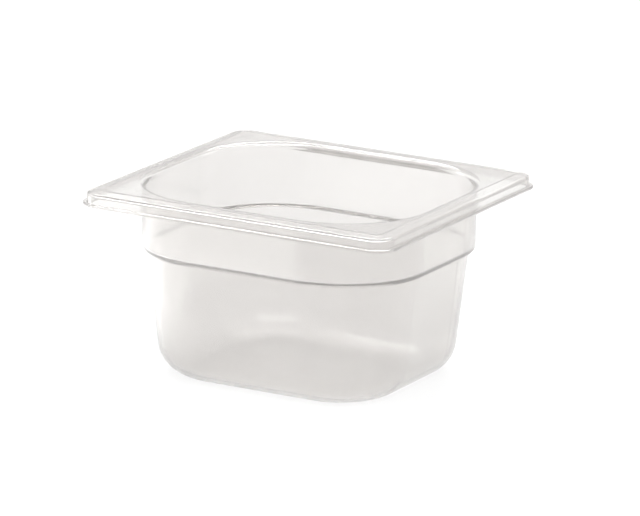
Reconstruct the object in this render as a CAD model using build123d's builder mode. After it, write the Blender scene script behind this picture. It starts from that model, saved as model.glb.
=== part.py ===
"""Gastronorm 1/6 food pan, one injection moulding in translucent polypropylene.

Millimetres. The origin is the centre of the base on the surface the pan stands on, +Z is up and
+X runs along the longer side of the rim.
"""
from build123d import *
import os

os.makedirs("parts", exist_ok=True)

# Overall size of the rim, and its height above the base
length = 176.0
width = 162.0
height = 98.0

# Rim: a plate that is level round the bowl and slopes down a little to its edge, a skirt turned
# down from the edge and a lip at the foot of the skirt
rim_depth = 7.4
crown = 1.0
crown_width = 7.0
plate_thickness = 1.8
skirt_thickness = 1.8
skirt_corner = 9.7
lip_reach = 1.9
lip_thickness = 1.6
plate_edge_round = 1.6
lip_edge_round = 0.65
lip_root_round = 0.3
skirt_root_round = 0.8

# Bowl: the flanges run from the lip to the upper wall, at the underside of the rim
end_flange = 11.05
side_flange = 12.4
bowl_corner = 47.0
wall = 2.0
upper_draft = 0.6
mouth_round = 3.4
rim_root_round = 1.2

# Stacking shoulder, the ledge inside it, and the lower wall beneath them
shoulder_height = 64.4
shoulder_step = 3.5
shoulder_round = 1.8
shoulder_root_round = 0.6
ledge_round = 2.2
ledge_root_round = 0.6
lower_draft = 6.2

# Base, with the sunken mark of the mould's gate in the middle of its underside
floor_thickness = 2.0
base_round = 17.4
gate_dimple_diameter = 9.0
gate_dimple_depth = 0.5
gate_mark_diameter = 2.4
gate_mark_height = 0.3
gate_edge_round = 0.2

# Levels and outlines that follow from the sizes above. The inner crown is the plate's slope on its
# underside, where it ends at the inner face of the skirt.
rim_bottom = height - rim_depth
lip_top = rim_bottom + lip_thickness
plate_underside = height - plate_thickness
inner_crown_width = crown_width - skirt_thickness
inner_crown = crown * inner_crown_width / crown_width
skirt_length = length - 2 * lip_reach
skirt_width = width - 2 * lip_reach
bowl_length = length - 2 * end_flange
bowl_width = width - 2 * side_flange


def at_level(shapes, level):
    """The faces or edges of a list that lie at one level."""
    return shapes.filter_by_position(Axis.Z, level - 0.01, level + 0.01)


def flat_face(shape, level):
    """The horizontal face of a shape at one level."""
    return at_level(shape.faces().filter_by(Axis.Z), level)[0]


def side_faces(shape, level):
    """The upright faces of a shape whose middle is above one level."""
    sides = shape.faces().filter_by(Axis.Z, reverse=True)
    return sides.filter_by(lambda face: face.center().Z > level)


def bowl_form(inset, lift, upper_round, lower_round):
    """Solid form of the bowl, set in by inset from its outer faces, floor and shoulder raised by lift.

    upper_round is the radius where the shoulder meets the upper wall, and lower_round the radius
    where it meets the lower wall.
    """
    drop = inset + shoulder_step
    ledge = shoulder_height + lift
    with BuildPart() as form:
        with BuildSketch(Plane.XY.offset(lift)):
            RectangleRounded(bowl_length - 2 * drop, bowl_width - 2 * drop, bowl_corner - drop)
        extrude(amount=shoulder_height)
        draft(side_faces(form, lift), Plane.XY.offset(shoulder_height), -lower_draft)

        with BuildSketch(Plane.XY.offset(ledge)):
            RectangleRounded(bowl_length - 2 * inset, bowl_width - 2 * inset, bowl_corner - inset)
        extrude(amount=height - ledge)
        draft(side_faces(form, ledge), Plane.XY.offset(rim_bottom), -upper_draft)

        fillet(flat_face(form, ledge).outer_wire().edges(), upper_round)
        fillet(flat_face(form, ledge).inner_wires()[0].edges(), lower_round)
        fillet(flat_face(form, lift).outer_wire().edges(), base_round - inset)
    return form.part


bowl_outside = bowl_form(0, 0, shoulder_round, shoulder_root_round)
bowl_inside = bowl_form(wall, floor_thickness, ledge_root_round, ledge_round)

with BuildPart() as rim_outside:
    with BuildSketch(Plane.XY.offset(rim_bottom)):
        RectangleRounded(skirt_length, skirt_width, skirt_corner)
    extrude(amount=rim_depth)
    plate_top = flat_face(rim_outside, height)
    chamfer(plate_top.edges(), crown_width, crown, reference=plate_top)
    fillet(at_level(rim_outside.edges(), height - crown), plate_edge_round)

with BuildPart() as rim_inside:
    with BuildSketch(Plane.XY.offset(rim_bottom)):
        RectangleRounded(skirt_length, skirt_width, skirt_corner)
        offset(amount=-skirt_thickness, mode=Mode.REPLACE)
    extrude(amount=plate_underside - rim_bottom)
    hollow_top = flat_face(rim_inside, plate_underside)
    chamfer(hollow_top.edges(), inner_crown_width, inner_crown, reference=hollow_top)
    fillet(at_level(rim_inside.edges(), plate_underside - inner_crown), skirt_root_round)

with BuildPart() as pan:
    # Lip, skirt and plate, hollow underneath
    with BuildSketch(Plane.XY.offset(rim_bottom)):
        RectangleRounded(length, width, skirt_corner + lip_reach)
    extrude(amount=lip_thickness)
    add(rim_outside.part)
    fillet(flat_face(pan, lip_top).inner_wires()[0].edges(), lip_root_round)
    fillet(flat_face(pan, lip_top).outer_wire().edges(), lip_edge_round)
    fillet(flat_face(pan, rim_bottom).edges(), lip_edge_round)
    add(rim_inside.part, mode=Mode.SUBTRACT)

    # Bowl: the corner under the plate is rounded before the inside is cut away
    add(bowl_outside)
    fillet(flat_face(pan, plate_underside).inner_wires()[0].edges(), rim_root_round)
    add(bowl_inside, mode=Mode.SUBTRACT)
    fillet(flat_face(pan, height).inner_wires()[0].edges(), mouth_round)

    # Gate mark: a small stub inside a shallow dimple, so that the base still rests flat
    with BuildSketch(Plane.XY):
        Circle(gate_dimple_diameter / 2)
    extrude(amount=gate_dimple_depth, mode=Mode.SUBTRACT)
    fillet(flat_face(pan, gate_dimple_depth).edges(), gate_edge_round)
    with BuildSketch(Plane.XY.offset(gate_dimple_depth)):
        Circle(gate_mark_diameter / 2)
    extrude(amount=-gate_mark_height)

pan.part.label = "pan"
export_step(pan.part, "parts/pan.step")
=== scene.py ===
"""Studio picture of a translucent gastronorm 1/6 food pan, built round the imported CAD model.

Metres, in the CAD model's own frame: the pan stands on z = 0, +X along its longer side.
"""
import math

import bpy
from mathutils import Matrix, Vector

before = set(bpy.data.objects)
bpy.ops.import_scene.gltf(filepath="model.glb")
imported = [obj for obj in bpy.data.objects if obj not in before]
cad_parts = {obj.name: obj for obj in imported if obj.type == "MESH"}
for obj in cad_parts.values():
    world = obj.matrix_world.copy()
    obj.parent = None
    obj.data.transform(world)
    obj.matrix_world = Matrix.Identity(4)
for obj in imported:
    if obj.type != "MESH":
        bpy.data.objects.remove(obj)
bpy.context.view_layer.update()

# Camera: compass turn, angle above the floor and tilt of the picture, in degrees; distance from the
# middle of the base; shift of the aim across and up the picture; lens and sensor in millimetres
AZIMUTH = 29.10
ELEVATION = 15.19
ROLL = 1.02
DISTANCE = 3.01523
AIM_ACROSS = 0.00669
AIM_ABOVE = 0.05623
LENS = 337.5
SENSOR = 36.0
CLIP_END = 20

# Floor: a pale plane just under the pan, which glows so that it stays white
FLOOR_SIZE = 12
FLOOR_LEVEL = -0.0002
FLOOR_COLOR = (0.16, 0.16, 0.16, 1)
FLOOR_GLOW = 0.82
FLOOR_ROUGHNESS = 0.9
FLOOR_SPECULAR = 0.1

WHITE = (1, 1, 1, 1)
WORLD_STRENGTH = 0.55

# Softboxes, which face the pan: name, size, compass turn from the camera in degrees, height, distance
# out from the pan's axis, radiance
AIM_HEIGHT = 0.05
SOFTBOXES = (
    ("softbox_back", (1.3, 0.75), 180, 1.2, 0.65, 8.5),
    ("softbox_front", (1.3, 0.5), 0, 1.2, 0.70, 5.5),
    ("softbox_left", (0.6, 0.9), -115, 0.5, 1.3, 2.5),
    ("softbox_right", (0.6, 0.9), 105, 0.5, 1.3, 1.5),
    ("strip_behind", (0.4, 0.24), 166, 0.14, 1.5, 0.8),
)

# Light panels, which lie on the floor and face up: name, place across and behind the pan's axis as
# the camera sees it, size, radiance
PANELS = (
    ("panel_left", -0.37, 0.075, (0.5, 0.25), 1.15),
    ("panel_front_left", -0.31, -0.13, (0.28, 0.16), 1.7),
    ("panel_rim_left", -0.30, -0.29, (0.10, 0.14), 1.4),
    ("panel_right", 0.38, 0.13, (0.44, 0.12), 0.4),
)
# Each panel's layers, how far a layer's edges lie outside those of the one below, and the height
# from one layer to the next
PANEL_LAYERS = 4
PANEL_STEP = 0.018
PANEL_SPACING = 0.001

# Plastic: slightly milky, with a warm grey tint, cloudy gloss and a faint waviness
PLASTIC_COLOR = (0.890, 0.878, 0.867, 1)
PLASTIC_IOR = 1.49
PLASTIC_CLARITY = 0.82
ABSORPTION_COLOR = (0.80, 0.77, 0.74, 1)
ABSORPTION_DENSITY = 60
CLOUD_SCALE = 70
CLOUD_DETAIL = 4
CLOUD_RANGE = (0.3, 0.7)
ROUGHNESS_RANGE = (0.07, 0.16)
WAVE_SCALE = 45
WAVE_DETAIL = 2
WAVE_STRENGTH = 0.15
WAVE_HEIGHT = 0.0004

# Light bounces: enough to pass through both walls and along the rim
BOUNCES = 24
TRANSPARENT_BOUNCES = 16


def add_camera():
    """Camera at the photograph's viewing angle."""
    az = math.radians(AZIMUTH)
    el = math.radians(ELEVATION)
    roll = math.radians(ROLL)
    back = Vector((math.sin(az) * math.cos(el), -math.cos(az) * math.cos(el), math.sin(el)))
    level = Vector((math.cos(az), math.sin(az), 0))
    above = back.cross(level)
    right = level * math.cos(roll) + above * math.sin(roll)
    up = above * math.cos(roll) - level * math.sin(roll)
    data = bpy.data.cameras.new("camera")
    data.lens = LENS
    data.sensor_width = SENSOR
    data.clip_end = CLIP_END
    camera = bpy.data.objects.new("camera", data)
    place = back * DISTANCE + right * AIM_ACROSS + up * AIM_ABOVE
    turn = Matrix((right, up, back)).transposed().to_4x4()
    camera.matrix_world = Matrix.Translation(place) @ turn
    bpy.context.scene.collection.objects.link(camera)
    bpy.context.scene.camera = camera


def add_floor():
    """Plain white floor."""
    bpy.ops.mesh.primitive_plane_add(size=FLOOR_SIZE, location=(0, 0, FLOOR_LEVEL))
    floor = bpy.context.object
    floor.name = "floor"
    mat = bpy.data.materials.new("floor")
    mat.use_nodes = True
    bsdf = mat.node_tree.nodes["Principled BSDF"]
    bsdf.inputs["Base Color"].default_value = FLOOR_COLOR
    bsdf.inputs["Roughness"].default_value = FLOOR_ROUGHNESS
    bsdf.inputs["Specular IOR Level"].default_value = FLOOR_SPECULAR
    bsdf.inputs["Emission Color"].default_value = WHITE
    bsdf.inputs["Emission Strength"].default_value = FLOOR_GLOW
    floor.data.materials.append(mat)


def add_world():
    """Even white surroundings."""
    world = bpy.data.worlds.new("world")
    world.use_nodes = True
    background = world.node_tree.nodes["Background"]
    background.inputs["Color"].default_value = WHITE
    background.inputs["Strength"].default_value = WORLD_STRENGTH
    bpy.context.scene.world = world


def add_area_light(name, size, place, rotation, radiance):
    """Rectangular light with a given radiance at its face."""
    data = bpy.data.lights.new(name, "AREA")
    data.shape = "RECTANGLE"
    data.size, data.size_y = size
    data.energy = radiance * math.pi * size[0] * size[1]
    lamp = bpy.data.objects.new(name, data)
    lamp.location = place
    lamp.rotation_euler = rotation
    bpy.context.scene.collection.objects.link(lamp)


def add_softbox(name, size, turn, height, reach, radiance):
    """Softbox aimed at the pan."""
    az = math.radians(AZIMUTH + turn)
    place = Vector((math.sin(az) * reach, -math.cos(az) * reach, height))
    aim = (Vector((0, 0, AIM_HEIGHT)) - place).to_track_quat("-Z", "Y").to_euler()
    add_area_light(name, size, place, aim, radiance)


def add_panel(name, across, behind, size, radiance):
    """Light panel whose edges fade in steps: its layers differ in size and add up to its radiance."""
    az = math.radians(AZIMUTH)
    right = Vector((math.cos(az), math.sin(az), 0))
    away = Vector((-math.sin(az), math.cos(az), 0))
    for layer in range(PANEL_LAYERS):
        growth = (2 * layer - PANEL_LAYERS + 1) * PANEL_STEP
        layer_size = (size[0] + growth, size[1] + growth)
        height = Vector((0, 0, PANEL_SPACING * (layer + 1)))
        place = right * across + away * behind + height
        add_area_light(f"{name}_{layer}", layer_size, place, (math.pi, 0, az), radiance / PANEL_LAYERS)


def pan_material():
    """Translucent natural polypropylene."""
    mat = bpy.data.materials.new("translucent_polypropylene")
    mat.use_nodes = True
    nodes, links = mat.node_tree.nodes, mat.node_tree.links
    bsdf = nodes["Principled BSDF"]
    bsdf.inputs["Base Color"].default_value = PLASTIC_COLOR
    bsdf.inputs["IOR"].default_value = PLASTIC_IOR
    bsdf.inputs["Transmission Weight"].default_value = PLASTIC_CLARITY
    volume = nodes.new("ShaderNodeVolumeAbsorption")
    volume.inputs["Color"].default_value = ABSORPTION_COLOR
    volume.inputs["Density"].default_value = ABSORPTION_DENSITY
    links.new(volume.outputs["Volume"], nodes["Material Output"].inputs["Volume"])

    place = nodes.new("ShaderNodeTexCoord")
    cloud = nodes.new("ShaderNodeTexNoise")
    cloud.inputs["Scale"].default_value = CLOUD_SCALE
    cloud.inputs["Detail"].default_value = CLOUD_DETAIL
    links.new(place.outputs["Object"], cloud.inputs["Vector"])
    rough = nodes.new("ShaderNodeMapRange")
    rough.inputs["From Min"].default_value, rough.inputs["From Max"].default_value = CLOUD_RANGE
    rough.inputs["To Min"].default_value, rough.inputs["To Max"].default_value = ROUGHNESS_RANGE
    links.new(cloud.outputs["Fac"], rough.inputs["Value"])
    links.new(rough.outputs["Result"], bsdf.inputs["Roughness"])

    wave = nodes.new("ShaderNodeTexNoise")
    wave.inputs["Scale"].default_value = WAVE_SCALE
    wave.inputs["Detail"].default_value = WAVE_DETAIL
    links.new(place.outputs["Object"], wave.inputs["Vector"])
    bump = nodes.new("ShaderNodeBump")
    bump.inputs["Strength"].default_value = WAVE_STRENGTH
    bump.inputs["Distance"].default_value = WAVE_HEIGHT
    links.new(wave.outputs["Fac"], bump.inputs["Height"])
    links.new(bump.outputs["Normal"], bsdf.inputs["Normal"])
    return mat


add_camera()
add_floor()
add_world()
for softbox in SOFTBOXES:
    add_softbox(*softbox)
for panel in PANELS:
    add_panel(*panel)

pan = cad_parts["pan"]
pan.data.materials.clear()
pan.data.materials.append(pan_material())

scene = bpy.context.scene
scene.view_settings.view_transform = "Standard"
scene.cycles.max_bounces = BOUNCES
scene.cycles.transmission_bounces = BOUNCES
scene.cycles.transparent_max_bounces = TRANSPARENT_BOUNCES
